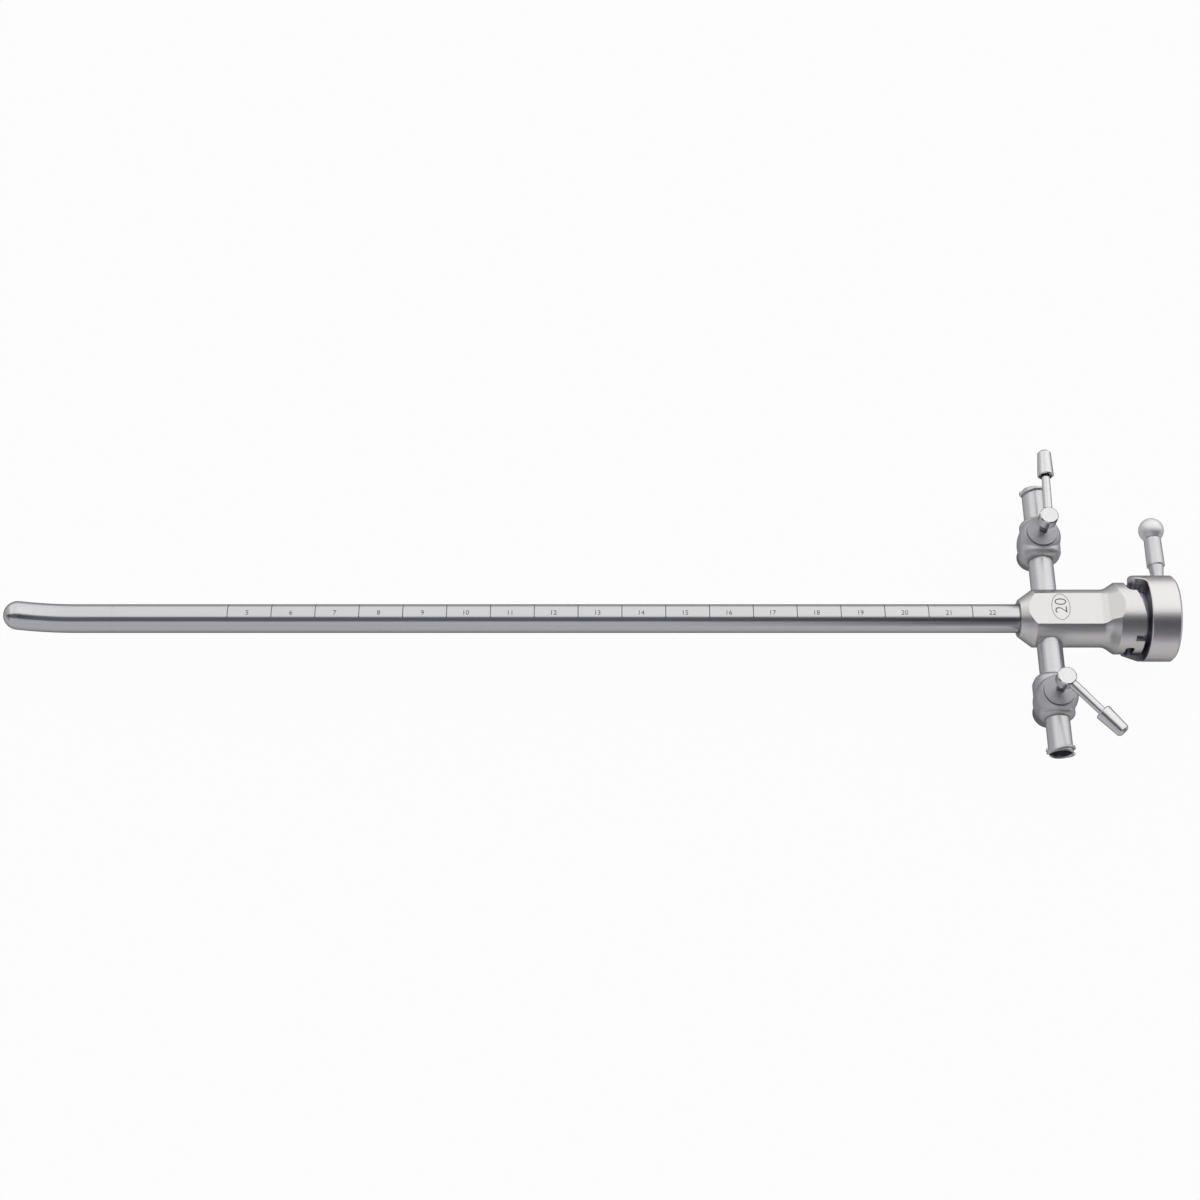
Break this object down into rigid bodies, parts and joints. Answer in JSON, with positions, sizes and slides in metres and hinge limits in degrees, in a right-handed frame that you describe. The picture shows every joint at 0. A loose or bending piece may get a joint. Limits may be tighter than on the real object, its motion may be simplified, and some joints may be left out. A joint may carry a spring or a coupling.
{
  "type": "cystoscope sheath",
  "caption": "Rigid steel endoscope sheath with a bent windowed beak, a graduated tube, a hub with side stopcocks and a bayonet lock ring turned by a ball-ended lever.",
  "frame": {"origin": "centre of the instrument socket's mouth, on the sheath's axis", "axes": "+X along the sheath towards the user, away from the tip; +Y along the stopcock arm on the lock lever's side; +Z the side that the stopcock levers stand on and the beak bends to"},
  "size_m": [0.2685, 0.0709, 0.0237],
  "materials": {
    "polished_tube": "polished stainless steel",
    "satin_hub": "bead-blasted stainless steel",
    "satin_ring": "fine turned stainless steel",
    "satin_fittings": "satin stainless steel",
    "satin_barrel": "satin stainless steel",
    "satin_plug": "satin stainless steel",
    "bright_bore": "bright machined stainless steel",
    "spring_steel": "spring steel",
    "friction_plastic": "plain fluoropolymer"
  },
  "bodies": {
    "sheath": {"sheath_tube": "polished_tube", "beak": "polished_tube", "hub_body": "satin_hub", "socket_sleeve": "bright_bore", "ring_retainer": "bright_bore", "friction_ring": "friction_plastic", "right_inlet_tube": "satin_fittings", "right_barrel": "satin_barrel", "right_outlet_tube": "satin_fittings", "left_inlet_tube": "satin_fittings", "left_barrel": "satin_barrel", "left_outlet_tube": "satin_fittings"},
    "lock": {"lock_ring": "satin_ring", "lock_stem": "satin_fittings", "lock_grip": "satin_fittings", "lock_ball": "satin_fittings"},
    "right_cock": {"right_plug": "satin_plug", "right_spring_washer": "spring_steel", "right_cap_nut": "satin_plug", "right_lever": "satin_plug", "right_lever_grip": "satin_fittings"},
    "left_cock": {"left_plug": "satin_plug", "left_spring_washer": "spring_steel", "left_cap_nut": "satin_plug", "left_lever": "satin_plug", "left_lever_grip": "satin_fittings"}
  },
  "joints": [
    {"name": "lock_turn", "type": "hinge", "parent": "sheath", "child": "lock", "pos_m": [-0.002, 0, 0], "axis": [1, 0, 0], "range_deg": [-10, 16.6]},
    {"name": "right_cock_turn", "type": "hinge", "parent": "sheath", "child": "right_cock", "pos_m": [-0.0273, 0.02, 0], "axis": [0, 0, 1], "continuous": true},
    {"name": "left_cock_turn", "type": "hinge", "parent": "sheath", "child": "left_cock", "pos_m": [-0.0273, -0.02, 0], "axis": [0, 0, 1], "continuous": true}
  ]
}
